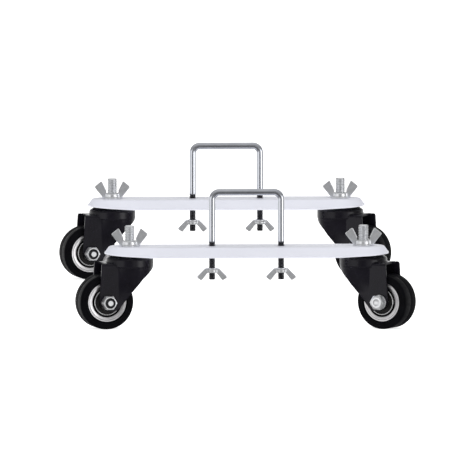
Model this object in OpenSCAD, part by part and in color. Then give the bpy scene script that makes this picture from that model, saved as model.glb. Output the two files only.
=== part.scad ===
// Pair of caster clamp bars: two pressed-steel bars, each with two swivel casters and a square U-bolt.
// Millimetres. +Z is up, the wheels stand on z = 0, the bars run along X and the carried tubes along Y.
// The origin is on the floor, midway between the outermost wheels and bar edges of the pair.

/* [Pair] */
// Distance between the centre lines of the two bars
bar_spacing = 528; // [140:1:1200]
// How far the pair is moved along Y, so that its box is centred on the origin
pair_shift = 5.5; // [0:0.5:8]
// Direction that the left casters trail in, in degrees from +X
left_trail = 193; // [0:1:360]
// Direction that the right casters trail in, in degrees from +X
right_trail = 330; // [0:1:360]

/* [Clamp bar] */
// Distance between the two caster stems of one bar
stem_pitch = 222; // [190:1:400]
// Width of the bar over its lower lips at the ends
bar_w = 48; // [47:0.5:60]
// Sheet thickness of the bar
bar_sheet = 1.5; // [1.2:0.1:2]
// Depth of the bar's flange along the middle
flange_mid = 9.7; // [9:0.1:11]
// Depth of the bar's flange at its round ends
flange_end = 7.1; // [6:0.1:8.5]
// How far the flange leans in over its end depth
flange_lean = 4.5; // [3:0.1:4.8]
// Distance from the middle at which the flange starts to get shallower
taper_start = 88; // [60:1:90]

/* [U-bolt] */
// Clear width between the legs
clamp_w = 59.2; // [30:0.2:80]
// Clear height above the bar
clamp_h = 47.8; // [30:0.1:60]
// Wire diameter, a quarter inch
wire_d = 6.35; // [5:0.05:6.5]
// Outside corner radius
clamp_corner = 10; // [8:0.5:14]
// Height of the leg ends above the floor
leg_end = 46; // [44:1:54]

/* [Wing nuts] */
// Height of the clamp nuts' seats above the floor
clamp_nut_z = 57; // [52:0.5:60]
// How far each pair of wings opens across the stem nuts
stem_nut_span = 34; // [32:0.5:36]
// How far each pair of wings opens across the clamp nuts
clamp_nut_span = 29.6; // [26:0.2:32]

/* [Caster] */
// Wheel diameter over the tread
wheel_d = 52; // [50:0.5:54]
// Wheel width
wheel_w = 24; // [22:0.5:24]
// Distance from the stem to the axle, seen from above
trail = 25; // [23:0.5:26]
// Width over the fork legs
fork_w = 30.5; // [30:0.5:33]
// Sheet thickness of the fork
fork_sheet = 2.3; // [2:0.1:2.6]
// Height from the axle to the top of the fork's shelf
shelf_rise = 37.2; // [36:0.1:40]
// Length of stem above the bar
stem_free = 19.5; // [17:0.5:30]

/* [Hidden] */
$fn = 72;
UNITS = ["front", "rear"];
SIDES = ["left", "right"];
UNIT_PARTS = ["bar", "u_bolt", "stems", "swivel_caps", "swivel_balls"];
SIDE_PARTS = ["stem_nut", "clamp_nut", "fork", "axle_bolt", "axle_nut", "nut_insert", "axle_sleeve",
              "tyre", "rim", "bearing_cups", "dust_seals", "bearing_balls"];
NODES = concat(
    [for (u = UNITS) for (p = UNIT_PARTS) str(u, "_", p)],
    [for (u = UNITS) for (s = SIDES) for (p = SIDE_PARTS) str(u, "_", s, "_", p)]
);
node = "all";

// Heights above the floor
axle_z = wheel_d / 2;
shelf_z = axle_z + shelf_rise;
bar_top = shelf_z + 14.8;
bar_under = bar_top - bar_sheet;
lip_mid = bar_top - flange_mid;
lip_end = bar_top - flange_end;
stem_top = bar_top + stem_free;

// Bar
lean = flange_lean / flange_end;
wall_across = bar_sheet * sqrt(1 + lean * lean);
bar_end = stem_pitch / 2 + bar_w / 2;
stem_hole_r = 5.2;
leg_hole_r = wire_d / 2 + 0.4;
seat_r = 10.3;
seat_sink = 0.3;

// U-bolt
leg_x = clamp_w / 2 + wire_d / 2;
bend_r = clamp_corner - wire_d / 2;
cross_z = bar_top + clamp_h + wire_d / 2;

// Threads are plain at their major diameter, with a running gap in each nut
stem_r = 4.75;
nut_gap = 0.08;
thread_chamfer = 0.8;
tip_chamfer = 0.6;
part_gap = 0.05;

// Swivel head
ball_r = 2;
ball_ring_r = 11;
ball_count = 16;
race_gap = 0.1;
dome_r = 22.5;
dome_top_r = 16.5;
dome_z = shelf_z + 7;
dome_shoulder_z = shelf_z + 3.3;
dome_rim_z = shelf_z - 4;
ball_z = dome_z + 1.6;
cap_r = 16;
cap_skirt = 1.6;
rivet_r = 8;
rivet_h = 2.2;
shank_gap = 0.07;

// Fork legs: a straight leading edge that runs onto the round end below the axle
leg_in = fork_w / 2 - fork_sheet;
leg_low_r = 11.8;
leg_low = [trail - 3.4, axle_z + 3];
lead_top = [-dome_r, dome_rim_z];
lead_mid = [trail - 33.3, axle_z + 21.5];
lead_low = [trail - 22.8, axle_z + 8.7];
leg_back = leg_low[0] + leg_low_r;
leg_back_top = leg_back - 2.4;
horn_low_r = 13.2;
shelf_back = trail + 2;

// Wheel, measured from the axle and from the wheel's middle plane
shoulder_r = 3.5;
rim_r = 19;
rim_face = wheel_w / 2 - 0.8;
rim_land_r = 14.3;
cup_r = 12.6;
seal_r = 11.4;
row_v = 7.8;
row_r = 8.9;
row_ball_r = 1.75;
row_count = 14;
sleeve_r = 7.4;
seal_bore_r = 7.7;

// Axle bolt and nut, five sixteenths of an inch
axle_r = 3.95;
hex_r = 12.7 / sqrt(3);
head_h = 5.3;
washer_r = 7.4;
washer_h = 1.6;
lock_nut_h = 8;
lock_hex_h = 6.4;
bolt_past = 1.6;

function wanted(name) = node == "all" || node == name;
function unit_y(u) = pair_shift + (u == "front" ? -1 : 1) * bar_spacing / 2;
function side_sign(s) = s == "left" ? -1 : 1;
function trail_angle(s) = s == "left" ? left_trail : right_trail;
function half_w(z) = bar_w / 2 - (z - lip_end) * lean;
function arc(c, r, from, to, steps = 6) =
    [for (i = [0:steps]) c + r * [cos(from + (to - from) * i / steps), sin(from + (to - from) * i / steps)]];
// Where a line from p touches the circle (c, r), on the circle's lower left
function touch(p, c, r) =
    let (d = norm(c - p), a = atan2(c[1] - p[1], c[0] - p[0]), t = asin(r / d))
    p + sqrt(d * d - r * r) * [cos(a - t), sin(a - t)];

// Places

module on_unit(u) {
    translate([0, unit_y(u), 0]) children();
}

module at_both_stems(u) {
    on_unit(u) for (s = SIDES) translate([side_sign(s) * stem_pitch / 2, 0, 0]) children();
}

module at_stem(u, s) {
    translate([side_sign(s) * stem_pitch / 2, unit_y(u), 0]) children();
}

// A caster is drawn with its stem on Z, trailing along +X
module at_caster(u, s) {
    at_stem(u, s) rotate([0, 0, trail_angle(s)]) children();
}

// The axle's own Z runs across the fork, towards the nut
module on_axle() {
    translate([trail, 0, axle_z]) rotate([-90, 0, 0]) children();
}

module both_faces() {
    children();
    mirror([0, 0, 1]) children();
}

// Clamp bar

// A long round-ended block whose sides lean in from half width w0 at z0 to w1 at z1
module leaning_block(z0, z1, w0, w1) {
    rotate([90, 0, 90]) translate([0, 0, -stem_pitch / 2]) linear_extrude(stem_pitch)
        polygon([[-w0, z0], [w0, z0], [w1, z1], [-w1, z1]]);
    for (s = SIDES)
        translate([side_sign(s) * stem_pitch / 2, 0, 0])
            rotate([0, 0, -90 * side_sign(s)])
                rotate_extrude(angle = 180) polygon([[0, z0], [w0, z0], [w1, z1], [0, z1]]);
}

module lip_cut() {
    past = bar_end + 5;
    rise = (lip_end - lip_mid) / (bar_end - taper_start);
    for (s = SIDES)
        mirror([side_sign(s) < 0 ? 1 : 0, 0, 0])
            rotate([90, 0, 0]) translate([0, 0, -bar_w]) linear_extrude(2 * bar_w)
                polygon([[taper_start, lip_mid], [past, lip_mid + rise * (past - taper_start)],
                         [past, lip_mid - 3], [taper_start, lip_mid - 3]]);
}

module bar() {
    under = lip_mid - 1;
    color("white")
    difference() {
        leaning_block(lip_mid, bar_top, half_w(lip_mid), half_w(bar_top));
        leaning_block(under, bar_under, half_w(under) - wall_across, half_w(bar_under) - wall_across);
        lip_cut();
        for (s = SIDES) {
            translate([side_sign(s) * stem_pitch / 2, 0, bar_under - 1])
                cylinder(r = stem_hole_r, h = bar_sheet + 2);
            translate([side_sign(s) * stem_pitch / 2, 0, bar_top - seat_sink])
                cylinder(r = seat_r, h = 1);
            translate([side_sign(s) * leg_x, 0, bar_under - 1])
                cylinder(r = leg_hole_r, h = bar_sheet + 2);
        }
    }
}

// U-bolt

module u_bolt() {
    bend_z = cross_z - bend_r;
    color("silver") {
        for (s = SIDES) mirror([side_sign(s) < 0 ? 1 : 0, 0, 0]) {
            translate([leg_x, 0, leg_end + tip_chamfer])
                cylinder(d = wire_d, h = bend_z - leg_end - tip_chamfer);
            translate([leg_x, 0, leg_end])
                cylinder(r1 = wire_d / 2 - tip_chamfer, r2 = wire_d / 2, h = tip_chamfer);
            translate([leg_x - bend_r, 0, bend_z]) rotate([90, 0, 0])
                rotate_extrude(angle = 90) translate([bend_r, 0]) circle(d = wire_d);
        }
        translate([bend_r - leg_x, 0, cross_z]) rotate([0, 90, 0])
            cylinder(d = wire_d, h = 2 * (leg_x - bend_r));
    }
}

// Wing nuts, seat on z = 0 and wings towards +Z

// One flat wing, seen from the front: it leaves the hub at the seat and ends in a square tip.
// foot is half the width at the seat, crotch is where the wing's inner edge meets the hub,
// tip_w and tip_h are how far the tip's inner corner lies inside and above its outer corner.
module wing(span, nut_h, foot, crotch, tip_w, tip_h, thick) {
    rotate([90, 0, 0]) translate([0, 0, -thick / 2]) linear_extrude(thick)
        polygon([[0, 0.4], [foot, 0.4], [span / 2, nut_h - tip_h], [span / 2 - tip_w, nut_h],
                 crotch, [0, crotch[1]]]);
}

module wing_nut(bore_r, base_r, neck_r, hub_h, span, nut_h, foot, crotch, tip_w, tip_h, thick) {
    color("silver")
    difference() {
        union() {
            cylinder(r1 = base_r, r2 = neck_r, h = hub_h);
            for (s = SIDES) mirror([side_sign(s) < 0 ? 1 : 0, 0, 0])
                wing(span, nut_h, foot, crotch, tip_w, tip_h, thick);
        }
        translate([0, 0, -1]) cylinder(r = bore_r, h = nut_h + 2);
    }
}

module stem_nut() {
    wing_nut(bore_r = stem_r + nut_gap, base_r = 7.3, neck_r = 6.7, hub_h = 5.3, span = stem_nut_span,
             nut_h = 16.8, foot = 8.7, crotch = [5.2, 6.4], tip_w = 6.4, tip_h = 4.6, thick = 3.2);
}

module clamp_nut() {
    wing_nut(bore_r = wire_d / 2 + nut_gap, base_r = 5.4, neck_r = 4.8, hub_h = 4.6, span = clamp_nut_span,
             nut_h = 12.1, foot = 6.8, crotch = [4.5, 4.9], tip_w = 4.8, tip_h = 3.3, thick = 2.6);
}

// Caster stem and swivel head

module stem() {
    head_top = dome_z - fork_sheet - 0.3;
    color("silver") {
        translate([0, 0, head_top - rivet_h]) cylinder(r1 = rivet_r - 1, r2 = rivet_r, h = rivet_h);
        translate([0, 0, head_top]) cylinder(r = stem_r, h = stem_top - thread_chamfer - head_top);
        translate([0, 0, stem_top - thread_chamfer])
            cylinder(r1 = stem_r, r2 = stem_r - thread_chamfer, h = thread_chamfer);
    }
}

module race(r) {
    translate([0, 0, ball_z]) rotate_extrude() translate([ball_ring_r, 0]) circle(r = r);
}

module swivel_cap() {
    cap_low = ball_z + 1.6;
    color([0.13, 0.13, 0.14])
    difference() {
        translate([0, 0, cap_low - 2.2]) cylinder(r = cap_r, h = bar_under - cap_low + 2.2);
        translate([0, 0, cap_low - 3]) cylinder(r = cap_r - cap_skirt, h = 3);
        cylinder(r = stem_r, h = bar_top);
        race(ball_r + race_gap);
    }
}

module ball_ring(r, ring_r, count) {
    color("gainsboro")
    for (i = [0:count - 1]) rotate([0, 0, 360 * i / count]) translate([ring_r, 0, 0]) sphere(r = r, $fn = 32);
}

// Fork

module dome_solid(inset) {
    r = dome_r - inset;
    top = dome_z - inset;
    rotate_extrude()
        polygon([[0, dome_rim_z - inset], [r, dome_rim_z - inset], [r, dome_shoulder_z - inset / 2],
                 [r - 1.6, dome_shoulder_z + 1.8 - inset], [dome_top_r - inset / 2, top], [0, top]]);
}

module horn_solid(inset) {
    z0 = axle_z + 8;
    translate([0, 0, z0])
        cylinder(r1 = horn_low_r - inset, r2 = dome_r - inset, h = dome_rim_z - z0);
}

module leg_slab(half, top) {
    translate([-9, -half, 0]) cube([leg_back + 12, 2 * half, top]);
}

module fork_outline() {
    low = touch(lead_low, leg_low, leg_low_r);
    polygon([[-dome_r - 1, dome_z + 1], [-dome_r - 1, lead_top[1]], lead_top, lead_mid, lead_low, low,
             leg_low, [leg_back, leg_low[1]], [leg_back_top, shelf_z], [leg_back_top, dome_z + 1]]);
    translate(leg_low) circle(r = leg_low_r);
}

module fork() {
    color([0.06, 0.06, 0.065])
    difference() {
        intersection() {
            union() {
                dome_solid(0);
                horn_solid(0);
                leg_slab(fork_w / 2, shelf_z);
            }
            rotate([90, 0, 0]) translate([0, 0, -dome_r - 1]) linear_extrude(2 * dome_r + 2) fork_outline();
        }
        dome_solid(fork_sheet);
        horn_solid(fork_sheet);
        translate([-dome_r - 1, -leg_in, 0]) cube([leg_back + dome_r + 3, 2 * leg_in, shelf_z - fork_sheet]);
        translate([shelf_back, -leg_in, 0]) cube([20, 2 * leg_in, shelf_z + 1]);
        cylinder(r = stem_r + shank_gap, h = dome_z + 1);
        race(ball_r + race_gap);
        on_axle() translate([0, 0, -fork_w]) cylinder(r = axle_r + 0.1, h = 2 * fork_w);
    }
}

// Axle

module axle_bolt() {
    color("silver") {
        translate([0, 0, -fork_w / 2 - washer_h]) difference() {
            cylinder(r = washer_r, h = washer_h);
            translate([0, 0, -1]) cylinder(r = axle_r + 0.2, h = washer_h + 2);
        }
        translate([0, 0, -fork_w / 2 - washer_h - head_h]) cylinder(r = hex_r, h = head_h, $fn = 6);
        translate([0, 0, -fork_w / 2 - washer_h])
            cylinder(r = axle_r, h = fork_w + washer_h + lock_nut_h + bolt_past - tip_chamfer);
        translate([0, 0, fork_w / 2 + lock_nut_h + bolt_past - tip_chamfer])
            cylinder(r1 = axle_r, r2 = axle_r - tip_chamfer, h = tip_chamfer);
    }
}

module axle_nut() {
    color("gainsboro")
    translate([0, 0, fork_w / 2]) difference() {
        union() {
            cylinder(r = hex_r, h = lock_hex_h, $fn = 6);
            cylinder(r = 6.2, h = lock_nut_h);
        }
        translate([0, 0, -1]) cylinder(r = axle_r + 0.1, h = lock_nut_h + 2);
        translate([0, 0, lock_nut_h - 2.2]) cylinder(r = 5.4, h = 3);
    }
}

module nut_insert() {
    color([0.1, 0.1, 0.1])
    translate([0, 0, fork_w / 2 + lock_nut_h - 2.2]) difference() {
        cylinder(r = 5.4, h = 1.9);
        translate([0, 0, -1]) cylinder(r = axle_r, h = 4);
    }
}

module bearing_groove() {
    both_faces() translate([0, 0, row_v]) rotate_extrude()
        translate([row_r, 0]) circle(r = row_ball_r + race_gap);
}

module axle_sleeve() {
    color("gray")
    difference() {
        translate([0, 0, -leg_in]) cylinder(r = sleeve_r, h = 2 * leg_in);
        translate([0, 0, -leg_in - 1]) cylinder(r = axle_r + 0.1, h = 2 * leg_in + 2);
        bearing_groove();
    }
}

// Wheel

module tyre() {
    side = wheel_w / 2;
    out = wheel_d / 2;
    half = concat([[rim_r, 0], [rim_r, side - 0.4], [rim_r + 2.4, side]],
                  arc([out - shoulder_r, side - shoulder_r], shoulder_r, 90, 0), [[out, 0]]);
    color([0.07, 0.07, 0.08])
    both_faces() rotate_extrude() polygon(half);
}

module rim() {
    color("silver")
    both_faces() rotate_extrude()
        polygon([[cup_r, 0], [cup_r, rim_face - 4], [rim_land_r, rim_face - 4], [rim_land_r, rim_face - 0.5],
                 [rim_land_r + 1.2, rim_face], [rim_r - 0.8, rim_face], [rim_r, rim_face - 0.3], [rim_r, 0]]);
}

module bearing_cups() {
    color("silver")
    both_faces() difference() {
        translate([0, 0, row_v - 2.4]) cylinder(r = cup_r, h = rim_face - 0.3 - row_v + 2.4);
        translate([0, 0, 1]) cylinder(r = row_r + row_ball_r - 0.45, h = wheel_w);
        translate([0, 0, rim_face - 1.1]) cylinder(r = seal_r, h = wheel_w);
        bearing_groove();
    }
}

module dust_seals() {
    color([0.09, 0.09, 0.09])
    both_faces() translate([0, 0, rim_face - 1.1]) difference() {
        cylinder(r = seal_r, h = 0.7);
        translate([0, 0, -1]) cylinder(r = seal_bore_r, h = 3);
    }
}

module bearing_balls() {
    both_faces() translate([0, 0, row_v]) ball_ring(row_ball_r, row_r, row_count);
}

// Assembly

for (u = UNITS) {
    if (wanted(str(u, "_bar"))) on_unit(u) bar();
    if (wanted(str(u, "_u_bolt"))) on_unit(u) u_bolt();
    if (wanted(str(u, "_stems"))) at_both_stems(u) stem();
    if (wanted(str(u, "_swivel_caps"))) at_both_stems(u) swivel_cap();
    if (wanted(str(u, "_swivel_balls")))
        at_both_stems(u) translate([0, 0, ball_z]) ball_ring(ball_r, ball_ring_r, ball_count);
    for (s = SIDES) {
        if (wanted(str(u, "_", s, "_stem_nut")))
            at_stem(u, s) translate([0, 0, bar_top - seat_sink + part_gap]) stem_nut();
        if (wanted(str(u, "_", s, "_clamp_nut")))
            on_unit(u) translate([side_sign(s) * leg_x, 0, clamp_nut_z]) mirror([0, 0, 1]) clamp_nut();
        if (wanted(str(u, "_", s, "_fork"))) at_caster(u, s) fork();
        if (wanted(str(u, "_", s, "_axle_bolt"))) at_caster(u, s) on_axle() axle_bolt();
        if (wanted(str(u, "_", s, "_axle_nut"))) at_caster(u, s) on_axle() axle_nut();
        if (wanted(str(u, "_", s, "_nut_insert"))) at_caster(u, s) on_axle() nut_insert();
        if (wanted(str(u, "_", s, "_axle_sleeve"))) at_caster(u, s) on_axle() axle_sleeve();
        if (wanted(str(u, "_", s, "_tyre"))) at_caster(u, s) on_axle() tyre();
        if (wanted(str(u, "_", s, "_rim"))) at_caster(u, s) on_axle() rim();
        if (wanted(str(u, "_", s, "_bearing_cups"))) at_caster(u, s) on_axle() bearing_cups();
        if (wanted(str(u, "_", s, "_dust_seals"))) at_caster(u, s) on_axle() dust_seals();
        if (wanted(str(u, "_", s, "_bearing_balls"))) at_caster(u, s) on_axle() bearing_balls();
    }
}
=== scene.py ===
"""Looks for the pair of caster clamp bars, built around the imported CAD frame.

Shapes are in millimetres, each in its own part's frame, and finished() scales them to metres. Every part's place
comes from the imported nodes. Repeated parts share one mesh.
"""

import math

import bmesh
import bpy
from mathutils import Matrix, Vector

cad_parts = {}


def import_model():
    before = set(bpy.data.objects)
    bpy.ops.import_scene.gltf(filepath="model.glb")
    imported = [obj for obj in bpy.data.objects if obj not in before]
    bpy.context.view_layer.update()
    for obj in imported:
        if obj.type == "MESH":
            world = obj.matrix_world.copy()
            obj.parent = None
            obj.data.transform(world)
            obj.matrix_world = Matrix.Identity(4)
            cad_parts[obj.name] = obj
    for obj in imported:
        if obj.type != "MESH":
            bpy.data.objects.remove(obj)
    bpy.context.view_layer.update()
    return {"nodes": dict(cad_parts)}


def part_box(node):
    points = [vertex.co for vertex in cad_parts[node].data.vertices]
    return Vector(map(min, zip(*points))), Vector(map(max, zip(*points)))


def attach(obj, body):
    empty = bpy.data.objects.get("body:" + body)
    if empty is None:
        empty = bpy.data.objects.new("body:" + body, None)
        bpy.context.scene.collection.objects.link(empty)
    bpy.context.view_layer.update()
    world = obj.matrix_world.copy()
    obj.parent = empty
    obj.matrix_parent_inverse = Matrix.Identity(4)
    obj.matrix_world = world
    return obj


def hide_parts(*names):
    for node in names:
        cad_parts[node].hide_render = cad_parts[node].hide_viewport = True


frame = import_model()

MM = 0.001
UNITS = ("front", "rear")
SIDES = ("left", "right")
SIGN = {"left": -1, "right": 1}

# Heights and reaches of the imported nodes, in millimetres


def low_mm(node):
    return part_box(node)[0] / MM


def high_mm(node):
    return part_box(node)[1] / MM


def middle(node):
    low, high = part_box(node)
    return (low + high) / 2


def flat_gap(a, b):
    return math.hypot(a.x - b.x, a.y - b.y)


STEM_X = middle("front_right_stem_nut").x / MM
STEM_TOP = high_mm("front_stems").z
BAR_TOP = high_mm("front_bar").z
BAR_END = high_mm("front_bar").x
LIP_MID = low_mm("front_bar").z
LEG_X = middle("front_right_clamp_nut").x / MM
LEG_END = low_mm("front_u_bolt").z
CLAMP_TOP = high_mm("front_u_bolt").z
CLAMP_SEAT = high_mm("front_left_clamp_nut").z
STEM_SEAT = low_mm("front_left_stem_nut").z
AXLE_Z = middle("front_left_tyre").z / MM
TYRE_R = high_mm("front_left_tyre").z - AXLE_Z
TRAIL = flat_gap(middle("front_left_stem_nut"), middle("front_left_tyre")) / MM
DOME_Z = high_mm("front_left_fork").z
STEM_FOOT = low_mm("front_stems").z

# Bar
SHEET = 1.5
TOP_HALF = 19.5
LIP_HALF = BAR_END - STEM_X
LIP_END = BAR_TOP - 7.1
TAPER_START = 88
STEM_HOLE_R = 5.2
SEAT_R = 10.3
SEAT_SINK = 0.3

# U-bolt and threads: 1/4-20 wire, 3/8-16 stems, 5/16-18 axle bolts
WIRE_R = (high_mm("front_u_bolt").y - low_mm("front_u_bolt").y) / 2
LEG_HOLE_R = WIRE_R + 0.4
CLAMP_BEND_R = 10 - WIRE_R
LEG_THREAD_TOP = BAR_TOP + 4.5
WIRE_PITCH = 1.27
STEM_PITCH = 1.5875
AXLE_PITCH = 1.411
STEM_R = 4.75

# Fork
LEG_HALF = 15.25
FORK_SHEET = 2.3
DOME_R = 22.5
SHELF_Z = AXLE_Z + 37.2
RIM_Z = SHELF_Z - 4
SKIRT_LOW_Z = AXLE_Z + 8.7
FLARE_LOW_Z = AXLE_Z - 6
SLANT_TOP = (TRAIL - 33.3, AXLE_Z + 21.5)
SLANT_FOOT = (TRAIL - 22.8, SKIRT_LOW_Z)
SHELF_BACK = TRAIL + 2
PANEL_FRONT = 14.7
FLARE_END = 4
LOW_FLARE = 2.2
LEG_LOW = (TRAIL - 3.4, AXLE_Z + 3)
LEG_LOW_R = 11.8
LEG_BACK = LEG_LOW[0] + LEG_LOW_R

# Wheel
WHEEL_HALF = 12
RIM_R = 19
RIM_FACE = 11.2
CUP_R = 12.6
SEAL_R = 11.4
SEAL_BORE_R = 7.7
ROW_V = 7.8
GROOVE_R = 14.2

# Axle bolt with a half-inch head
AXLE_R = 3.95
HEX_R = 12.7 / math.sqrt(3)
HEAD_H = 5.3
WASHER_R = 7.2
WASHER_H = 1.6
LOCK_NUT_H = 8
LOCK_HEX_H = 6.4
BOLT_PAST = 1.6
LOCK_RECESS_R = 5.4
BOLT_END_PLAIN_R = 2.4

# Fineness: grain of the remeshed skins, points round a turned shape or a thread, bevel steps
FORK_VOXEL = 0.42
NUT_VOXEL = 0.28
SMALL = 64
MIDDLING = 96
LARGE = 128
WHEEL_SIZED = 160
ROD_POINTS = 40
WIRE_POINTS = 32
BEVEL_STEPS = 2

# Thread form, as shares of the pitch: depth, half of the flat crest, width of a flank
THREAD_DEPTH = 0.5
THREAD_CREST = 0.25
THREAD_FLANK = 0.6


# Outlines


def arc(centre, radius, start, end, steps):
    """Points on an arc, angles in degrees."""
    angles = [math.radians(start + (end - start) * i / steps) for i in range(steps + 1)]
    return [(centre[0] + radius * math.cos(a), centre[1] + radius * math.sin(a)) for a in angles]


def rounded(points, radii, closed=True, steps=5):
    """The outline through these points, each corner rounded to its radius where that is above 0."""
    n = len(points)
    out = []
    for i, (p, radius) in enumerate(zip(points, radii)):
        if radius <= 0 or (not closed and i in (0, n - 1)):
            out.append(p)
            continue
        here = Vector(p)
        back = Vector(points[i - 1]) - here
        ahead = Vector(points[(i + 1) % n]) - here
        half = back.angle(ahead) / 2
        reach = min(radius / math.tan(half), 0.48 * back.length, 0.48 * ahead.length)
        radius = reach * math.tan(half)
        centre = here + (back.normalized() + ahead.normalized()).normalized() * (radius / math.sin(half))
        first = here + back.normalized() * reach - centre
        last = here + ahead.normalized() * reach - centre
        turn = first.angle_signed(last)
        for k in range(steps + 1):
            # Vector.angle_signed is clockwise positive, and so is this turn
            a = -turn * k / steps
            spoke = Vector((first.x * math.cos(a) - first.y * math.sin(a),
                            first.x * math.sin(a) + first.y * math.cos(a)))
            out.append(tuple(centre + spoke))
    return out


# Meshes, in millimetres until finished()


def mesh_of(vertices, faces):
    mesh = bpy.data.meshes.new("work")
    mesh.from_pydata([tuple(v) for v in vertices], [], faces)
    work = bmesh.new()
    work.from_mesh(mesh)
    bmesh.ops.remove_doubles(work, verts=work.verts, dist=1e-4)
    bmesh.ops.delete(work, geom=[e for e in work.edges if not e.link_faces], context="EDGES")
    bmesh.ops.recalc_face_normals(work, faces=work.faces)
    work.to_mesh(mesh)
    work.free()
    return mesh


def lofted(rings, capped=True):
    """A skin over closed rings that have the same number of points each."""
    n = len(rings[0])
    vertices = [p for ring in rings for p in ring]
    faces = []
    for k in range(len(rings) - 1):
        for i in range(n):
            j = (i + 1) % n
            faces.append((k * n + i, k * n + j, (k + 1) * n + j, (k + 1) * n + i))
    if capped:
        faces.append(tuple(reversed(range(n))))
        faces.append(tuple(range((len(rings) - 1) * n, len(rings) * n)))
    return mesh_of(vertices, faces)


def prism(outline, low, high):
    """A flat outline in X and Y, pulled up along Z."""
    return lofted([[(x, y, z) for x, y in outline] for z in (low, high)])


def side_prism(outline, half):
    """A flat outline in X and Z, pulled both ways along Y."""
    return lofted([[(x, y, z) for x, z in outline] for y in (-half, half)])


def revolved(profile, segments=LARGE):
    """A closed profile of (radius, height) points turned about Z. Points on the axis merge."""
    turns = [2 * math.pi * i / segments for i in range(segments)]
    rings = [[(r * math.cos(a), r * math.sin(a), z) for a in turns] for r, z in profile]
    return lofted(rings + rings[:1], capped=False)


def joined(*meshes):
    work = bmesh.new()
    for mesh in meshes:
        work.from_mesh(mesh)
    out = bpy.data.meshes.new("work")
    work.to_mesh(out)
    work.free()
    return out


def moved(mesh, matrix):
    out = mesh.copy()
    out.transform(matrix)
    if matrix.determinant() < 0:
        out.flip_normals()
    return out


def shifted(mesh, x):
    return moved(mesh, Matrix.Translation((x, 0, 0)))


def mirrored(mesh, axis):
    return moved(mesh, Matrix.Scale(-1, 4, axis))


def modified(mesh, *modifiers):
    """The mesh after these modifiers, each a type and its settings."""
    obj = bpy.data.objects.new("work", mesh)
    bpy.context.scene.collection.objects.link(obj)
    for kind, settings in modifiers:
        modifier = obj.modifiers.new(kind.title(), kind)
        for key, value in settings.items():
            setattr(modifier, key, value)
    graph = bpy.context.evaluated_depsgraph_get()
    out = bpy.data.meshes.new_from_object(obj.evaluated_get(graph))
    bpy.data.objects.remove(obj)
    return out


def combined(mesh, tools, operation="DIFFERENCE"):
    """Exact booleans of the mesh with each tool in turn."""
    for tool in tools:
        other = bpy.data.objects.new("tool", tool)
        bpy.context.scene.collection.objects.link(other)
        mesh = modified(mesh, ("BOOLEAN", {"object": other, "operation": operation, "solver": "EXACT"}))
        bpy.data.objects.remove(other)
    return mesh


def cast(mesh, voxel, smooth_steps):
    """One skin round overlapping solids, with its corners softened."""
    return modified(
        mesh,
        ("REMESH", {"mode": "VOXEL", "voxel_size": voxel, "adaptivity": 0.0}),
        ("SMOOTH", {"factor": 0.5, "iterations": smooth_steps}),
    )


def softened(mesh, width):
    """Small bevels on every sharp edge."""
    return modified(
        mesh,
        ("BEVEL", {"width": width, "segments": BEVEL_STEPS, "limit_method": "ANGLE",
                   "angle_limit": math.radians(30), "use_clamp_overlap": True}),
    )


def finished(name, mesh, material, sharp):
    """The mesh in metres with its material, smooth but for edges sharper than the angle."""
    mesh.name = name
    mesh.transform(Matrix.Scale(MM, 4))
    mesh.materials.clear()
    mesh.materials.append(material)
    mesh.shade_smooth()
    mesh.set_sharp_from_angle(angle=math.radians(sharp))
    return mesh


# Materials


def node_material(name, **sockets):
    """A Principled material with constant sockets, and the Tree that builds on it."""
    material = bpy.data.materials.new(name)
    material.use_nodes = True
    shader = material.node_tree.nodes["Principled BSDF"]
    for socket, value in sockets.items():
        shader.inputs[socket.replace("_", " ")].default_value = value
    return material, Tree(material.node_tree, shader)


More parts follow.
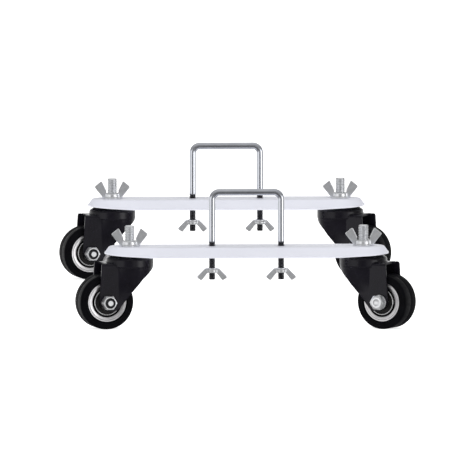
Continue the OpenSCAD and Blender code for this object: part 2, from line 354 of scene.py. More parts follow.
class Tree:
    """Short forms for the nodes that the materials use. Coordinates are the object's own, in metres."""

    def __init__(self, tree, shader):
        self.tree = tree
        self.shader = shader
        self.place = self.add("ShaderNodeTexCoord").outputs["Object"]

    def add(self, kind, **settings):
        node = self.tree.nodes.new(kind)
        for key, value in settings.items():
            setattr(node, key, value)
        return node

    def link(self, source, target):
        self.tree.links.new(source, target)

    def put(self, node, inputs):
        for key, value in inputs.items():
            if isinstance(value, bpy.types.NodeSocket):
                self.link(value, node.inputs[key])
            else:
                node.inputs[key].default_value = value
        return node

    def stretched(self, scale):
        return self.put(self.add("ShaderNodeMapping"), {"Vector": self.place, "Scale": scale}).outputs[0]

    def noise(self, size_mm, detail, place=None):
        """Noise with features of about this size."""
        node = self.add("ShaderNodeTexNoise")
        self.put(node, {"Vector": place or self.place, "Scale": 1 / (size_mm * MM), "Detail": detail,
                        "Roughness": 0.5})
        return node.outputs["Fac"]

    def spread(self, value, low, high, from_low=0.3, from_high=0.7):
        node = self.add("ShaderNodeMapRange", clamp=True)
        self.put(node, {"Value": value, "From Min": from_low, "From Max": from_high, "To Min": low, "To Max": high})
        return node.outputs[0]

    def math(self, operation, a, b=0.0):
        node = self.add("ShaderNodeMath", operation=operation)
        self.put(node, {0: a, 1: b})
        return node.outputs[0]

    def blend(self, amount, a, b):
        node = self.add("ShaderNodeMix", data_type="RGBA")
        self.put(node, {"Factor": amount})
        self.put(node, {6: a, 7: b})
        return node.outputs[2]

    def bump(self, height, depth_mm, strength, under=None):
        node = self.add("ShaderNodeBump")
        self.put(node, {"Height": height, "Distance": depth_mm * MM, "Strength": strength})
        if under is not None:
            self.link(under, node.inputs["Normal"])
        return node.outputs["Normal"]

    def radius(self):
        """Distance from the object's Z axis, in metres."""
        parts = self.add("ShaderNodeSeparateXYZ")
        self.link(self.place, parts.inputs[0])
        squares = self.math("ADD", self.math("POWER", parts.outputs[0], 2.0), self.math("POWER", parts.outputs[1], 2.0))
        return self.math("SQRT", squares)

    def rings(self, spacing_mm):
        """Turning lines round the Z axis."""
        wobble = self.noise(0.9, 3.0)
        turns = self.math("MULTIPLY", self.radius(), 2 * math.pi / (spacing_mm * MM))
        return self.math("SINE", self.math("ADD", turns, self.math("MULTIPLY", wobble, 3.0)))

    def height(self):
        """Height above the object's origin, in metres."""
        parts = self.add("ShaderNodeSeparateXYZ")
        self.link(self.place, parts.inputs[0])
        return parts.outputs[2]

    def edges(self, width_mm):
        """Near 1 along edges of about this width, and 0 on flat stretches."""
        edge = self.add("ShaderNodeBevel", samples=12)
        edge.inputs["Radius"].default_value = width_mm * MM
        flat = self.add("ShaderNodeNewGeometry").outputs["Normal"]
        dot = self.add("ShaderNodeVectorMath", operation="DOT_PRODUCT")
        self.link(edge.outputs[0], dot.inputs[0])
        self.link(flat, dot.inputs[1])
        return self.spread(dot.outputs["Value"], 1.0, 0.0, 0.84, 0.985)

    def set(self, **sockets):
        for socket, value in sockets.items():
            self.link(value, self.shader.inputs[socket.replace("_", " ")])


def grey(value):
    return (value, value, value, 1.0)


def white_powder_coat():
    material, t = node_material("white_powder_coat", Specular_IOR_Level=0.5, Coat_Weight=0.15, Coat_Roughness=0.25)
    peel = t.noise(1.6, 1.5)
    cloud = t.noise(22.0, 3.0)
    t.set(
        Base_Color=t.blend(t.spread(cloud, 0.0, 1.0), (0.68, 0.69, 0.76, 1), (0.71, 0.72, 0.79, 1)),
        Roughness=t.spread(t.noise(5.0, 3.0), 0.34, 0.46),
        Normal=t.bump(peel, 0.05, 0.6, t.bump(t.noise(0.35, 2.0), 0.01, 0.4)),
    )
    return material


def black_powder_coat():
    material, t = node_material("black_powder_coat", Specular_IOR_Level=0.22)
    peel = t.noise(1.1, 2.0)
    cloud = t.noise(16.0, 3.0)
    t.set(
        Base_Color=t.blend(t.spread(cloud, 0.0, 1.0), (0.005, 0.0045, 0.007, 1), (0.008, 0.007, 0.011, 1)),
        Roughness=t.spread(t.noise(4.0, 3.0), 0.17, 0.25),
        Normal=t.bump(peel, 0.02, 0.5, t.bump(t.noise(0.3, 2.0), 0.005, 0.5)),
    )
    return material


def zinc_wire():
    """Drawn wire, zinc plated: fine lines along it, a mild mottle, and painted shade on its threaded legs."""
    material, t = node_material("zinc_wire", Metallic=1.0)
    drawn = t.noise(0.8, 2.0, place=t.stretched((1.0, 1.0, 0.05)))
    cloud = t.noise(9.0, 3.0)
    bright = t.blend(t.spread(cloud, 0.0, 1.0), (0.64, 0.66, 0.715, 1), (0.72, 0.74, 0.795, 1))
    # Painted shade: the threaded part of the legs is painted dark, standing in for the shade in the thread grooves
    painted_thread_shade = t.blend(t.spread(t.noise(1.5, 3.0), 0.0, 1.0), (0.05, 0.05, 0.055, 1), (0.14, 0.14, 0.15, 1))
    threaded = t.spread(t.height(), 1.0, 0.0, (LEG_THREAD_TOP - 1) * MM, (LEG_THREAD_TOP + 0.5) * MM)
    t.set(
        Base_Color=t.blend(threaded, bright, painted_thread_shade),
        Roughness=t.spread(t.noise(3.0, 3.0), 0.13, 0.20),
        Normal=t.bump(drawn, 0.003, 0.4),
    )
    return material


def zinc_hardware():
    """Cast and rolled fasteners, zinc plated: satin, with edges painted dark as painted reflections, and painted shade
    on the thread and chamfer round an axle bolt's end.
    """
    material, t = node_material("zinc_hardware", Metallic=0.88)
    cloud = t.noise(3.0, 3.0)
    satin = t.blend(t.spread(cloud, 0.0, 1.0), (0.80, 0.81, 0.83, 1), (0.90, 0.91, 0.925, 1))
    # Painted shade: the thread and chamfer of the axle bolt's end, past the nut, are painted dark
    beyond_nut = t.spread(t.height(), 0.0, 1.0, (LEG_HALF + LOCK_NUT_H - 1) * MM, (LEG_HALF + LOCK_NUT_H - 0.8) * MM)
    off_centre = t.spread(t.radius(), 0.0, 1.0, BOLT_END_PLAIN_R * MM, (BOLT_END_PLAIN_R + 0.3) * MM)
    on_bolt = t.spread(t.radius(), 1.0, 0.0, (AXLE_R + 0.02) * MM, (AXLE_R + 0.08) * MM)
    painted_thread_shade = t.math("MULTIPLY", t.math("MULTIPLY", beyond_nut, off_centre), on_bolt)
    # Painted reflection: edges are painted dark where rounded metal would reflect dark surroundings
    painted_edge_and_thread_shade = t.math("MAXIMUM", painted_thread_shade, t.math("MULTIPLY", t.edges(0.6), 0.85))
    t.set(
        Base_Color=t.blend(painted_edge_and_thread_shade, satin, (0.035, 0.035, 0.04, 1)),
        Roughness=t.spread(t.noise(1.8, 3.0), 0.28, 0.36),
    )
    return material


def bright_rim():
    """A smooth satin rim. The groove round the bearing is painted dark, as painted shade in the recess."""
    material, t = node_material("bright_rim", Metallic=1.0)
    cloud = t.noise(6.0, 3.0)
    satin = t.blend(t.spread(cloud, 0.0, 1.0), (0.70, 0.69, 0.70, 1), (0.82, 0.805, 0.815, 1))
    # Painted shade: everything inside GROOVE_R, the deep groove beside the bearing, is painted near black
    painted_groove_shade = t.spread(t.radius(), 1.0, 0.0, GROOVE_R * MM, (GROOVE_R + 0.3) * MM)
    t.set(
        Base_Color=t.blend(painted_groove_shade, satin, (0.01, 0.01, 0.011, 1)),
        Roughness=t.spread(t.noise(2.0, 3.0), 0.30, 0.37),
    )
    return material


def bearing_steel():
    material, t = node_material("bearing_steel", Metallic=1.0)
    cloud = t.noise(5.0, 3.0)
    t.set(
        Base_Color=t.blend(t.spread(cloud, 0.0, 1.0), (0.68, 0.68, 0.69, 1), (0.80, 0.80, 0.81, 1)),
        Roughness=t.spread(t.noise(1.2, 3.0), 0.12, 0.22),
        Normal=t.bump(t.rings(0.2), 0.003, 0.5),
    )
    return material


def black_tread():
    material, t = node_material("black_tread", Specular_IOR_Level=0.05)
    cloud = t.noise(9.0, 4.0)
    t.set(
        Base_Color=t.blend(t.spread(cloud, 0.0, 1.0), (0.0015, 0.0015, 0.0022, 1), (0.003, 0.003, 0.0042, 1)),
        Roughness=t.spread(t.noise(2.5, 4.0), 0.42, 0.55),
        Normal=t.bump(t.noise(0.4, 3.0), 0.01, 0.5, t.bump(t.rings(0.9), 0.004, 0.4)),
    )
    return material


def black_seal():
    material, t = node_material("black_seal", Specular_IOR_Level=0.3)
    t.set(
        Base_Color=t.blend(t.spread(t.noise(4.0, 3.0), 0.0, 1.0), (0.0025, 0.0022, 0.0022, 1),
                           (0.0045, 0.004, 0.004, 1)),
        Roughness=t.spread(t.noise(1.0, 3.0), 0.30, 0.48),
        Normal=t.bump(t.rings(0.6), 0.01, 0.4, t.bump(t.noise(0.3, 2.0), 0.01, 0.4)),
    )
    return material


def black_nylon():
    material, t = node_material("black_nylon", Specular_IOR_Level=0.5)
    t.set(
        Base_Color=t.blend(t.spread(t.noise(2.0, 3.0), 0.0, 1.0), (0.004, 0.004, 0.0045, 1), (0.007, 0.007, 0.008, 1)),
        Roughness=t.spread(t.noise(0.8, 3.0), 0.38, 0.5),
        Normal=t.bump(t.noise(0.25, 2.0), 0.01, 0.5),
    )
    return material


MATERIALS = {
    make.__name__: make()
    for make in (white_powder_coat, black_powder_coat, zinc_wire, zinc_hardware, bright_rim, bearing_steel,
                 black_tread, black_seal, black_nylon)
}


# Pieces


def bar_mesh():
    """A pressed channel: leaning walls all round, a small outward lip, holes and coined nut seats."""
    rise = (LIP_END - LIP_MID) / (BAR_END - TAPER_START)
    mid_half = LIP_HALF + (LIP_END - LIP_MID) * (LIP_HALF - TOP_HALF) / (BAR_TOP - LIP_END)

    def lip_height(x):
        return LIP_MID + rise * max(0.0, abs(x) - TAPER_START)

    def section(lip):
        """(half width, height) from the middle of the underside, round the lip, to the middle of the top."""
        half = LIP_HALF + (mid_half - LIP_HALF) * (LIP_END - lip) / (LIP_END - LIP_MID)
        wall = [(TOP_HALF, BAR_TOP), (half - 0.9, lip + 2.2), (half, lip + SHEET)]
        outer = rounded([(0, BAR_TOP), wall[0], wall[1], wall[2], (half, lip)], [0, 2.2, 0.8, 0.35, 0.2], closed=False)
        inner = rounded(
            [(half - 0.1, lip), (half - 1.4, lip), (half - 2.6, lip + 1.6), (TOP_HALF - 1.8, BAR_TOP - SHEET),
             (0, BAR_TOP - SHEET)],
            [0, 0.3, 1.0, 1.2, 0], closed=False)
        return outer + inner

    straight = [STEM_X * (2 * i / 60 - 1) for i in range(61)]
    rounds = 40
    stations = [(x, 0.0, 1.0) for x in straight]
    stations += [(STEM_X, math.sin(a), math.cos(a)) for a in (math.pi * i / rounds for i in range(1, rounds))]
    stations += [(x, 0.0, -1.0) for x in reversed(straight)]
    stations += [(-STEM_X, -math.sin(a), -math.cos(a)) for a in (math.pi * i / rounds for i in range(1, rounds))]

    def placed(station):
        x, across, along = station
        reach = LIP_HALF
        for _ in range(3):
            lip = lip_height(x + across * reach)
            reach = max(r for r, z in section(lip))
        return [(x + across * r, along * r, z) for r, z in section(lip)]

    columns = [placed(s) for s in stations]
    rows = list(zip(*columns))
    # The first and last rows lie on the bar's centre line, so the flat middles are closed with one face each
    shell = lofted([list(row) for row in rows[1:-1]])
    low, floor_z, high = BAR_TOP - 5, BAR_TOP - SEAT_SINK, BAR_TOP + 5
    stem_hole = revolved([(0, low), (STEM_HOLE_R, low), (STEM_HOLE_R, floor_z), (SEAT_R, floor_z), (SEAT_R, high),
                          (0, high)])
    leg_hole = disc(LEG_HOLE_R, low, high)
    holes = [shifted(hole, SIGN[side] * x) for side in SIDES for hole, x in ((stem_hole, STEM_X), (leg_hole, LEG_X))]
    return combined(shell, [joined(*holes)])


def disc(radius, low, high):
    return revolved([(0, low), (radius, low), (radius, high), (0, high)], MIDDLING)


def thread_radius(major, pitch, angle, z, fade):
    """Radius of a rolled thread at an angle and height. fade is 1 in full thread and 0 where it has run out."""
    depth = THREAD_DEPTH * pitch
    phase = (z / pitch + angle / (2 * math.pi)) % 1.0
    hill = abs(2 * phase - 1)
    return major - depth * fade * min(1.0, max(0.0, (hill - THREAD_CREST) / THREAD_FLANK))


def threaded_ring(major, pitch, z, fade, around):
    turns = [2 * math.pi * i / around for i in range(around)]
    return [(thread_radius(major, pitch, a, z, fade), a) for a in turns]


def smooth_step(value):
    value = min(1.0, max(0.0, value))
    return value * value * (3 - 2 * value)


def threaded_rod(major, pitch, low, thread_low, high, chamfer):
    """A rod along Z, plain up to thread_low and threaded from there to its chamfered top."""
    rings = []
    steps = math.ceil((high - thread_low) / (pitch / 10))
    heights = [low] + [thread_low + (high - thread_low) * i / steps for i in range(steps + 1)]
    for z in heights:
        fade = smooth_step((z - thread_low) / (1.5 * pitch)) * smooth_step((high - z + 0.15) / (0.6 * pitch))
        limit = major - max(0.0, chamfer - (high - z))
        rings.append([(min(r, limit) * math.cos(a), min(r, limit) * math.sin(a), z)
                      for r, a in threaded_ring(major, pitch, z, fade, ROD_POINTS)])
    return lofted(rings)


def u_bolt_mesh():
    """Bent wire with both lower legs threaded."""
    around = WIRE_POINTS
    cross_z = CLAMP_TOP - WIRE_R
    bend_z = cross_z - CLAMP_BEND_R
    steps = math.ceil((LEG_THREAD_TOP - LEG_END) / (WIRE_PITCH / 10))
    leg = [LEG_END + (LEG_THREAD_TOP - LEG_END) * i / steps for i in range(steps + 1)] + [bend_z]
    tip = 0.6

    def leg_ring(x, z):
        fade = smooth_step((LEG_THREAD_TOP - z) / 2) * smooth_step((z - LEG_END + 0.15) / 0.6)
        limit = WIRE_R - max(0.0, tip - (z - LEG_END))
        turns = threaded_ring(WIRE_R, WIRE_PITCH, z, fade, around)
        return [(x + min(r, limit) * math.cos(a), min(r, limit) * math.sin(a), z) for r, a in turns]

    def bent_ring(x, z, tilt):
        """A plain ring whose X axis is tilted up by this angle."""
        turns = [2 * math.pi * i / around for i in range(around)]
        return [(x + WIRE_R * math.cos(a) * math.cos(tilt), WIRE_R * math.sin(a),
                 z + WIRE_R * math.cos(a) * math.sin(tilt)) for a in turns]

    rings = [leg_ring(-LEG_X, z) for z in leg]
    bend_steps = 16
    for side in (-1, 1):
        centre_x = side * (LEG_X - CLAMP_BEND_R)
        for i in range(bend_steps + 1):
            turn = math.pi / 2 * i / bend_steps
            swing = turn if side < 0 else math.pi / 2 + turn
            x = centre_x - CLAMP_BEND_R * math.cos(swing)
            rings.append(bent_ring(x, bend_z + CLAMP_BEND_R * math.sin(swing), -swing))
    # Past the second bend the ring's X axis has turned right round, so the right leg's rings are turned too
    right = [leg_ring(LEG_X, z) for z in reversed(leg)]
    half = around // 2
    rings += [[ring[(half - i) % around] for i in range(around)] for ring in right]
    return lofted(rings)


def wing_mesh(outline, radii, thick):
    """One flat wing in X and Z, drawn on the right."""
    return side_prism(rounded(outline, radii, steps=6), thick / 2)


def wing_nut_mesh(bore_r, base_r, neck_r, hub_h, wing_outline, radii, thick):
    """A forged wing nut, seat on z = 0: hub with a seat ring, two flat wings and a chamfered bore."""
    hub = revolved([(0, 0), (base_r, 0), (base_r, 0.9), (neck_r, 1.6), (neck_r - 0.3, hub_h - 0.6),
                    (neck_r - 1.0, hub_h), (0, hub_h)], SMALL)
    wing = wing_mesh(wing_outline, radii, thick)
    blank = cast(joined(hub, wing, mirrored(wing, (1, 0, 0))), NUT_VOXEL, 5)
    bore = revolved([(0, -1), (bore_r + 1.6, -1), (bore_r, 0.6), (bore_r, hub_h - 0.7), (bore_r + 1.4, hub_h + 0.7),
                     (bore_r + 1.4, hub_h + 3), (0, hub_h + 3)], SMALL)
    return combined(blank, [bore])


def stem_nut_mesh():
    outline = [(0, 0.3), (8.7, 0.3), (17.6, 11.6), (10.4, 17.5), (5.2, 6.8), (0, 5.0)]
    return wing_nut_mesh(STEM_R + 0.05, 7.3, 6.8, 5.4, outline, [0, 1.2, 1.2, 1.2, 1.5, 0], 3.2)


def clamp_nut_mesh():
    outline = [(0, 0.3), (6.6, 0.3), (14.8, 8.8), (10.0, 12.1), (4.4, 4.8), (0, 4.0)]
    return wing_nut_mesh(WIRE_R + 0.05, 5.4, 4.9, 4.6, outline, [0, 1.0, 1.0, 1.0, 1.2, 0], 2.6)


def stems_mesh():
    """The two stems of a bar: rivet head below the fork's top, plain shank, thread."""
    head_top = STEM_FOOT + 2.2
    rod = threaded_rod(STEM_R, STEM_PITCH, head_top - 0.5, BAR_TOP - 4, STEM_TOP, 0.9)
    head = revolved(rounded([(0, STEM_FOOT), (7, STEM_FOOT), (8, head_top), (0, head_top)], [0, 0.8, 0.4, 0]), SMALL)
    stem = joined(rod, head)
    return joined(*(shifted(stem, SIGN[side] * STEM_X) for side in SIDES))


def flare(z):
    """How far the round skirt stands out beyond the legs at a height."""
    if z < SKIRT_LOW_Z:
        return LOW_FLARE * smooth_step((z - FLARE_LOW_Z) / (SKIRT_LOW_Z - FLARE_LOW_Z))
    share = min(1.0, (z - SKIRT_LOW_Z) / (RIM_Z - SKIRT_LOW_Z))
    return LOW_FLARE + (DOME_R - LEG_HALF - LOW_FLARE) * share


def skirt_section(z, inset, back):
    """The fork's plan outline at a height: flat leg panels, a crease, and a flare into the round skirt in front."""
    wide = LEG_HALF + flare(z) - inset
    leg = LEG_HALF - inset
    flare_steps = 14
    front_steps = 24
    meet = math.asin(FLARE_END / wide)
    half = [(back, leg)]
    for i in range(flare_steps):
        share = i / flare_steps
        u = PANEL_FRONT - (PANEL_FRONT + FLARE_END) * share
        half.append((u, leg + (wide * math.cos(meet) - leg) * math.sin(math.pi / 2 * share)))
    turns = [meet + (math.pi / 2 - meet) * i / front_steps for i in range(front_steps + 1)]
    half += [(-wide * math.sin(a), wide * math.cos(a)) for a in turns]
    return half + [(u, -v) for u, v in reversed(half[:-1])]


def skirt_solid(inset, top, low=5.0, bend_r=3.0):
    """Legs and skirt as a solid, rounded over at the top."""
    back = LEG_BACK + 8
    heights = [low]
    heights += [FLARE_LOW_Z + (SKIRT_LOW_Z - FLARE_LOW_Z) * i / 6 for i in range(7)]
    heights += [SKIRT_LOW_Z + (RIM_Z - SKIRT_LOW_Z) * i / 8 for i in range(1, 8)]
    rings = [[(u, v, z) for u, v in skirt_section(z, inset, back)] for z in heights if z < top - bend_r]
    for i in range(7):
        turn = math.pi / 2 * i / 6
        z = top - bend_r + bend_r * math.sin(turn)
        pulled = inset + bend_r * (1 - math.cos(turn))
        rings.append([(u, v, z) for u, v in skirt_section(z, pulled, back)])
    return lofted(rings)


def touch(point, centre, radius):
    """Where a line from the point touches the circle, on the circle's lower left."""
    away = Vector(centre) - Vector(point)
    turn = math.atan2(away.y, away.x) - math.asin(radius / away.length)
    reach = math.sqrt(away.length_squared - radius * radius)
    return (point[0] + reach * math.cos(turn), point[1] + reach * math.sin(turn))


def fork_outline():
    """The fork's side view, in its own X and Z: front rim, slanting edge, round leg ends, back edge."""
    low = touch(SLANT_FOOT, LEG_LOW, LEG_LOW_R)
    start = math.degrees(math.atan2(low[1] - LEG_LOW[1], low[0] - LEG_LOW[0]))
    corners = [(-DOME_R - 4, DOME_Z + 4), (-DOME_R - 4, RIM_Z), (-DOME_R, RIM_Z), SLANT_TOP, SLANT_FOOT]
    back = [(LEG_BACK - 2.4, SHELF_Z), (LEG_BACK - 2.4, DOME_Z + 4)]
    ends = rounded(corners, [0, 0, 2.5, 8, 0], closed=False)
    return ends + arc(LEG_LOW, LEG_LOW_R, start, 0, 28) + back


def dome_solid(inset):
    """The race dome. The hollow starts above the rim, where the skirt beside the legs is narrower than the dome."""
    radius = DOME_R - inset
    top = DOME_Z - inset
    rim = RIM_Z + inset / 2
    points = [(0, rim), (radius, rim), (radius, SHELF_Z + 3.6 - inset), (16.5 - inset / 2, top), (0, top)]
    return revolved(rounded(points, [0, 0, 2.6 - inset / 2, 1.6, 0], closed=False))


def fork_mesh():
    """A drawn sheet fork: race dome, skirt, shelf and flat legs, all one skin."""
    body = combined(skirt_solid(0, SHELF_Z), [dome_solid(0)], "UNION")
    body = combined(body, [side_prism(fork_outline(), DOME_R + 5)], "INTERSECT")
    gap_half = LEG_HALF - FORK_SHEET
    past, above = SHELF_BACK + 20, SHELF_Z + 1
    behind_shelf = side_prism([(SHELF_BACK, 0), (past, 0), (past, above), (SHELF_BACK, above)], gap_half)
    tools = [
        skirt_solid(FORK_SHEET, SHELF_Z - FORK_SHEET, low=0.0, bend_r=1.0),
        dome_solid(FORK_SHEET),
        behind_shelf,
        disc(STEM_R + 0.1, RIM_Z - 5, DOME_Z + 5),
        moved(disc(AXLE_R + 0.1, -40, 40), axle_matrix()),
    ]
    return cast(combined(body, tools), FORK_VOXEL, 3)


def axle_matrix():
    """From the axle's own frame, Z towards the nut, to the caster's, in millimetres."""
    return Matrix.Translation((TRAIL, 0, AXLE_Z)) @ Matrix.Rotation(-math.pi / 2, 4, "X")


def hexagon(z_low, z_high):
    turns = [math.pi / 3 * i for i in range(6)]
    return prism([(HEX_R * math.cos(a), HEX_R * math.sin(a)) for a in turns], z_low, z_high)


def axle_bolt_mesh():
    """Hex bolt and its washer. The head lies at negative Z."""
    seat = -LEG_HALF - WASHER_H
    face = seat - HEAD_H
    chamfer = revolved([(0, face), (5.0, face), (5.2, face + 0.05), (HEX_R + 0.4, face + 1.4), (HEX_R + 0.4, seat + 1),
                        (0, seat + 1)], MIDDLING)
    dimple = revolved([(0, face - 1), (3.4, face - 1), (3.2, face + 0.1), (2.4, face + 0.45), (0, face + 0.55)],
                      SMALL)
    head = combined(hexagon(face, seat), [chamfer], "INTERSECT")
    head = softened(combined(head, [dimple]), 0.15)
    washer = revolved(rounded([(AXLE_R + 0.2, seat), (WASHER_R, seat), (WASHER_R, seat + WASHER_H),
                               (AXLE_R + 0.2, seat + WASHER_H)], [0.2, 0.5, 0.2, 0.1]), MIDDLING)
    tail = LEG_HALF + LOCK_NUT_H + BOLT_PAST
    shank = threaded_rod(AXLE_R, AXLE_PITCH, seat - 0.5, LEG_HALF - 2, tail, 1.5)
    return joined(head, washer, shank)


def axle_nut_mesh():
    """Lock nut: chamfered hexagon and a round collar turned in over the nylon ring."""
    low = LEG_HALF
    hex_top = low + LOCK_HEX_H
    top = low + LOCK_NUT_H
    limits = revolved([(0, low), (6.5, low), (HEX_R + 0.3, low + 0.7), (HEX_R + 0.3, hex_top - 0.7), (6.6, hex_top),
                       (0, hex_top)], MIDDLING)
    body = combined(hexagon(low, hex_top), [limits], "INTERSECT")
    recess, collar_r, mouth = LOCK_RECESS_R, 6.2, 5.0
    bore = revolved([(0, low - 1), (AXLE_R + 0.1, low - 1), (AXLE_R + 0.1, top - 2.3), (recess, top - 2.3),
                     (recess, hex_top + 1), (0, hex_top + 1)], MIDDLING)
    collar = revolved(rounded([(recess, hex_top - 0.4), (collar_r, hex_top - 0.4), (collar_r, top), (mouth, top),
                               (mouth, top - 0.35), (recess, top - 0.35)], [0, 0, 0.7, 0.15, 0, 0]), MIDDLING)
    return joined(softened(combined(body, [bore]), 0.12), collar)


def nut_insert_mesh():
    top = LEG_HALF + LOCK_NUT_H - 0.4
    low = top - 1.8
    inner, outer = AXLE_R + 0.02, LOCK_RECESS_R - 0.05
    return revolved(rounded([(inner, low), (outer, low), (outer, top), (inner, top)], [0.1, 0.2, 0.3, 0.5]), SMALL)


def tyre_mesh():
    """Tread with round shoulders, a moulded bead beside the rim and a parting line."""
    side = WHEEL_HALF
    half = [(RIM_R, 0.0), (RIM_R, side - 1.0)]
    half += rounded([(RIM_R, side - 0.9), (RIM_R + 0.5, side - 0.35), (RIM_R + 1.4, side - 0.1),
                     (RIM_R + 2.2, side - 0.1), (RIM_R + 2.7, side - 0.7), (TYRE_R, side - 0.5), (TYRE_R, 0.35)],
                    [0, 0.3, 0.4, 0.4, 0.5, 3.4, 0], closed=False, steps=8)
    half += [(TYRE_R - 0.12, 0.0)]
    return revolved(half + [(r, -z) for r, z in reversed(half[1:-1])], WHEEL_SIZED)


def rim_mesh():
    """Bright rim: an outer land, a step, and an inner land beside the bearing."""
    face = RIM_FACE
    half = rounded([(CUP_R, 0), (CUP_R, face - 4.5), (13.9, face - 4.5), (GROOVE_R, face - 0.6), (16.9, face - 0.1),
                    (17.4, face - 0.5), (18.5, face - 0.35), (RIM_R, face - 0.9), (RIM_R, 0)],
                   [0, 0, 0.3, 0.5, 0.3, 0.3, 0.4, 0.2, 0], closed=False)
    return revolved(half + [(r, -z) for r, z in reversed(half[1:-1])], WHEEL_SIZED)


def bearing_cups_mesh():
    face = RIM_FACE + 0.1
    inner, outer, low = 10.2, CUP_R - 0.02, ROW_V - 2.4
    cup = revolved(rounded([(inner, low), (outer, low), (outer, face), (SEAL_R + 0.05, face),
                            (SEAL_R + 0.05, face - 1.2), (inner, face - 1.2)], [0.3, 0.2, 0.6, 0.5, 0, 0.2]))
    return joined(cup, mirrored(cup, (0, 0, 1)))


def dust_seals_mesh():
    """Pressed discs with a raised outer bead and a lip at the bore."""
    low = RIM_FACE - 1.1
    seal = revolved(rounded([(SEAL_BORE_R, low), (SEAL_R, low), (SEAL_R, low + 0.75), (10.5, low + 0.75),
                             (10.1, low + 0.45), (9.0, low + 0.4), (8.7, low + 0.7), (SEAL_BORE_R, low + 0.7)],
                            [0.1, 0.1, 0.3, 0.2, 0.2, 0.2, 0.2, 0.2]))
    return joined(seal, mirrored(seal, (0, 0, 1)))


# Places


def unit_place(unit):
    return Matrix.Translation((0, middle(f"{unit}_bar").y, 0))


def caster_place(unit, side):
    """On the floor under the stem, with X towards the axle."""
    stem = middle(f"{unit}_{side}_stem_nut")
    wheel = middle(f"{unit}_{side}_tyre")
    turn = math.atan2(wheel.y - stem.y, wheel.x - stem.x)
    return Matrix.Translation((stem.x, stem.y, 0)) @ Matrix.Rotation(turn, 4, "Z")


def axle_place(unit, side):
    local = axle_matrix()
    local.translation *= MM
    return caster_place(unit, side) @ local


def nut_place(node, seat_z, flipped=False):
    place = Matrix.Translation((middle(node).x, middle(node).y, seat_z * MM))
    return place @ Matrix.Rotation(math.pi if flipped else 0, 4, "X")


def put(name, mesh, place, body, node):
    """Sets a piece down in place of a CAD node, riding on that node's body."""
    obj = bpy.data.objects.new(name, mesh)
    bpy.context.scene.collection.objects.link(obj)
    obj.matrix_world = place
    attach(obj, body)
    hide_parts(node)


def keep(node, slot, bevel_mm=0.0):
    """A CAD node whose shape is right: it gets its material, and small bevels where it has sharp edges."""
    obj = frame["nodes"][node]
    obj.data.materials.clear()
    obj.data.materials.append(MATERIALS[slot])
    if bevel_mm:
        bevel = obj.modifiers.new("Bevel", "BEVEL")
        bevel.width = bevel_mm * MM
        bevel.segments = BEVEL_STEPS
        bevel.limit_method = "ANGLE"
        bevel.angle_limit = math.radians(40)


def made(name, build, slot, sharp=35):
    return finished(name, build(), MATERIALS[slot], sharp)


BAR = made("bar", bar_mesh, "white_powder_coat")
U_BOLT = made("u_bolt", u_bolt_mesh, "zinc_wire")
STEMS = made("stems", stems_mesh, "zinc_hardware")
STEM_NUT = made("stem_nut", stem_nut_mesh, "zinc_hardware")
CLAMP_NUT = made("clamp_nut", clamp_nut_mesh, "zinc_hardware")
FORK = made("fork", fork_mesh, "black_powder_coat", sharp=60)
AXLE_BOLT = made("axle_bolt", axle_bolt_mesh, "zinc_hardware")
AXLE_NUT = made("axle_nut", axle_nut_mesh, "zinc_hardware")
NUT_INSERT = made("nut_insert", nut_insert_mesh, "black_nylon")
TYRE = made("tyre", tyre_mesh, "black_tread")
RIM = made("rim", rim_mesh, "bright_rim")
BEARING_CUPS = made("bearing_cups", bearing_cups_mesh, "bearing_steel")
DUST_SEALS = made("dust_seals", dust_seals_mesh, "black_seal")

for unit in UNITS:
    here = unit_place(unit)
    put(f"{unit}_pressed_bar", BAR, here, f"{unit}_bar", f"{unit}_bar")
    put(f"{unit}_bent_u_bolt", U_BOLT, here, f"{unit}_u_bolt", f"{unit}_u_bolt")
    put(f"{unit}_threaded_stems", STEMS, here, f"{unit}_bar", f"{unit}_stems")
    keep(f"{unit}_swivel_caps", "black_powder_coat", 0.4)
    keep(f"{unit}_swivel_balls", "bearing_steel")
    for side in SIDES:
        prefix = f"{unit}_{side}"
        stem_nut = f"{prefix}_stem_nut"
        clamp_nut = f"{prefix}_clamp_nut"
        swivel = f"{prefix}_swivel"
        wheel = f"{prefix}_wheel"
        axle = axle_place(unit, side)
        put(f"{prefix}_stem_wing_nut", STEM_NUT, nut_place(stem_nut, STEM_SEAT), stem_nut, stem_nut)
        put(f"{prefix}_clamp_wing_nut", CLAMP_NUT, nut_place(clamp_nut, CLAMP_SEAT, True), clamp_nut, clamp_nut)
        put(f"{prefix}_drawn_fork", FORK, caster_place(unit, side), swivel, f"{prefix}_fork")
        put(f"{prefix}_hex_bolt", AXLE_BOLT, axle, swivel, f"{prefix}_axle_bolt")
        put(f"{prefix}_lock_nut", AXLE_NUT, axle, swivel, f"{prefix}_axle_nut")
        put(f"{prefix}_nylon_ring", NUT_INSERT, axle, swivel, f"{prefix}_nut_insert")
        put(f"{prefix}_moulded_tyre", TYRE, axle, wheel, f"{prefix}_tyre")
        put(f"{prefix}_turned_rim", RIM, axle, wheel, f"{prefix}_rim")
        put(f"{prefix}_ground_cups", BEARING_CUPS, axle, wheel, f"{prefix}_bearing_cups")
        put(f"{prefix}_pressed_seals", DUST_SEALS, axle, wheel, f"{prefix}_dust_seals")
        keep(f"{prefix}_axle_sleeve", "bearing_steel", 0.3)
        keep(f"{prefix}_bearing_balls", "bearing_steel")


# Studio, in metres and degrees. The lens and the sensor are in millimetres

CAMERA_AZIMUTH = -2.114
CAMERA_ELEVATION = 5.018
CAMERA_LENS = 1650
SENSOR_WIDTH = 36
CAMERA_AIM = (-0.00225, -0.0209, 0.06736)
FRAME_WIDTH = 0.4512
WRAP_R = 60
AMBIENT_R = 58
STRIP_GAIN = 1.5
FLOOR_HALF = 50
FLOOR_GLOW = 0.8
AMBIENT_LEVEL = 0.45


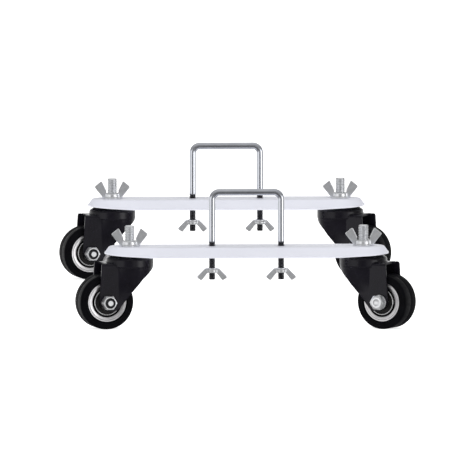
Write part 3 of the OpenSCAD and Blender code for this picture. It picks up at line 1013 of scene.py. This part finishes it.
def direction_ramp(t, value, stops):
    ramp = t.add("ShaderNodeValToRGB")
    t.link(value, ramp.inputs[0])
    elements = ramp.color_ramp.elements
    for element, (at, level) in zip((elements[0], elements[-1]), (stops[0], stops[-1])):
        element.position = at
        element.color = grey(level)
    for at, level in stops[1:-1]:
        elements.new(at).color = grey(level)
    return ramp.outputs[0]


def sphere_around(name, radius, material):
    """A glowing shell round the studio that the camera doesn't see."""
    work = bmesh.new()
    bmesh.ops.create_uvsphere(work, u_segments=64, v_segments=32, radius=radius)
    mesh = bpy.data.meshes.new(name)
    work.to_mesh(mesh)
    work.free()
    mesh.materials.append(material)
    mesh.shade_smooth()
    shell = bpy.data.objects.new(name, mesh)
    bpy.context.scene.collection.objects.link(shell)
    shell.visible_camera = False
    shell.visible_transmission = False
    shell.visible_volume_scatter = False
    shell.visible_shadow = False
    return shell


def glow_material(name):
    """A material of emission alone, the Tree that builds on it, and the socket for its strength."""
    material = bpy.data.materials.new(name)
    material.use_nodes = True
    material.node_tree.nodes.clear()
    t = Tree(material.node_tree, None)
    glow = t.add("ShaderNodeEmission")
    t.link(glow.outputs[0], t.add("ShaderNodeOutputMaterial").inputs["Surface"])
    material.cycles.emission_sampling = "NONE"
    return material, t, glow.inputs["Strength"]


def reflection_wrap():
    """A surround that only reflections see: pale floor and ceiling, a dark horizon, and upright softboxes."""
    material, t, strength = glow_material("reflection_wrap")
    unit_vector = t.add("ShaderNodeVectorMath", operation="NORMALIZE")
    t.link(t.place, unit_vector.inputs[0])
    parts = t.add("ShaderNodeSeparateXYZ")
    t.link(unit_vector.outputs[0], parts.inputs[0])
    # Fixed to the world: 0.5 is towards -Y, the parts' front, and 0.75 towards +X
    azimuth = t.math("ARCTAN2", parts.outputs[0], t.math("MULTIPLY", parts.outputs[1], -1.0))
    around = t.spread(azimuth, 0.0, 1.0, -math.pi, math.pi)
    height = t.spread(parts.outputs[2], 0.0, 1.0, -1.0, 1.0)
    steady = direction_ramp(t, height, [(0.0, 0.50), (0.14, 0.22), (0.30, 0.12), (0.41, 0.05), (0.50, 0.06),
                                        (0.60, 0.18), (0.71, 0.32), (0.95, 0.52), (1.0, 0.65)])
    band = direction_ramp(t, height, [(0.30, 0.0), (0.40, 1.0), (0.56, 1.0), (0.66, 0.0)])
    strips = direction_ramp(t, around, [(0.0, 0.7), (0.10, 0.7), (0.20, 0.45), (0.30, 0.5), (0.35, 0.75), (0.41, 0.7),
                                        (0.43, 0.1), (0.49, 0.03), (0.52, 0.06), (0.545, 0.35), (0.60, 0.5),
                                        (0.62, 1.8), (0.67, 1.8), (0.69, 0.5), (0.72, 0.15), (0.77, 0.1),
                                        (0.80, 0.2), (0.88, 0.7), (1.0, 0.7)])
    t.link(t.math("ADD", steady, t.math("MULTIPLY", t.math("MULTIPLY", band, strips), STRIP_GAIN)), strength)
    wrap = sphere_around("reflection_wrap", WRAP_R, material)
    wrap.visible_diffuse = False


def floor():
    """A pale floor that glows a little, so that it stays as pale as a light table."""
    material, t = node_material("floor", Roughness=0.9, Emission_Strength=FLOOR_GLOW)
    t.shader.inputs["Emission Color"].default_value = grey(1.0)
    t.set(Base_Color=t.blend(t.noise(400.0, 2.0), (0.86, 0.86, 0.86, 1), (0.88, 0.88, 0.88, 1)))
    half = FLOOR_HALF
    mesh = bpy.data.meshes.new("floor")
    mesh.from_pydata([(-half, -half, 0), (half, -half, 0), (half, half, 0), (-half, half, 0)], [], [(0, 1, 2, 3)])
    mesh.materials.append(material)
    ground = bpy.data.objects.new("floor", mesh)
    bpy.context.scene.collection.objects.link(ground)
    ground.visible_glossy = False


def area_light(name, place, aim, width, height, power):
    data = bpy.data.lights.new(name, "AREA")
    data.shape = "RECTANGLE"
    data.size = width
    data.size_y = height
    data.energy = power
    light = bpy.data.objects.new(name, data)
    bpy.context.scene.collection.objects.link(light)
    light.visible_glossy = False
    light.location = place
    light.rotation_euler = (Vector(aim) - Vector(place)).to_track_quat("-Z", "Y").to_euler()


def world():
    """White past the floor's edge. It lights nothing: the ambient dome does that."""
    made_world = bpy.data.worlds.new("studio")
    bpy.context.scene.world = made_world
    made_world.use_nodes = True
    background = made_world.node_tree.nodes["Background"]
    background.inputs["Color"].default_value = grey(1.0)
    background.inputs["Strength"].default_value = 1.0
    made_world.cycles.sampling_method = "NONE"
    made_world.cycles_visibility.diffuse = False
    made_world.cycles_visibility.glossy = False


def ambient_dome():
    """An even glow from all sides that only diffuse surfaces see."""
    material, _, strength = glow_material("ambient_dome")
    strength.default_value = AMBIENT_LEVEL
    dome = sphere_around("ambient_dome", AMBIENT_R, material)
    dome.visible_glossy = False


def camera():
    """A long lens from a little above and a little to the left, aimed between the bars."""
    azimuth = math.radians(CAMERA_AZIMUTH)
    elevation = math.radians(CAMERA_ELEVATION)
    data = bpy.data.cameras.new("camera")
    data.sensor_width = SENSOR_WIDTH
    data.lens = CAMERA_LENS
    data.clip_start = 1
    data.clip_end = 200
    obj = bpy.data.objects.new("camera", data)
    bpy.context.scene.collection.objects.link(obj)
    back = Vector((math.sin(azimuth) * math.cos(elevation), -math.cos(azimuth) * math.cos(elevation),
                   math.sin(elevation)))
    aim = Vector(CAMERA_AIM)
    obj.location = aim + back * (FRAME_WIDTH / 2 / math.tan(math.atan(SENSOR_WIDTH / 2 / CAMERA_LENS)))
    obj.rotation_euler = (-back).to_track_quat("-Z", "Y").to_euler()
    bpy.context.scene.camera = obj


camera()
world()
ambient_dome()
floor()
reflection_wrap()
area_light("overhead", (0.0, -0.4, 3.2), (0, 0, 0), 3.5, 3.0, 67)
area_light("left_softbox", (-1.7, -3.2, 1.4), (0, -0.2, 0.05), 1.0, 2.4, 14)
bpy.context.scene.view_settings.view_transform = "Standard"
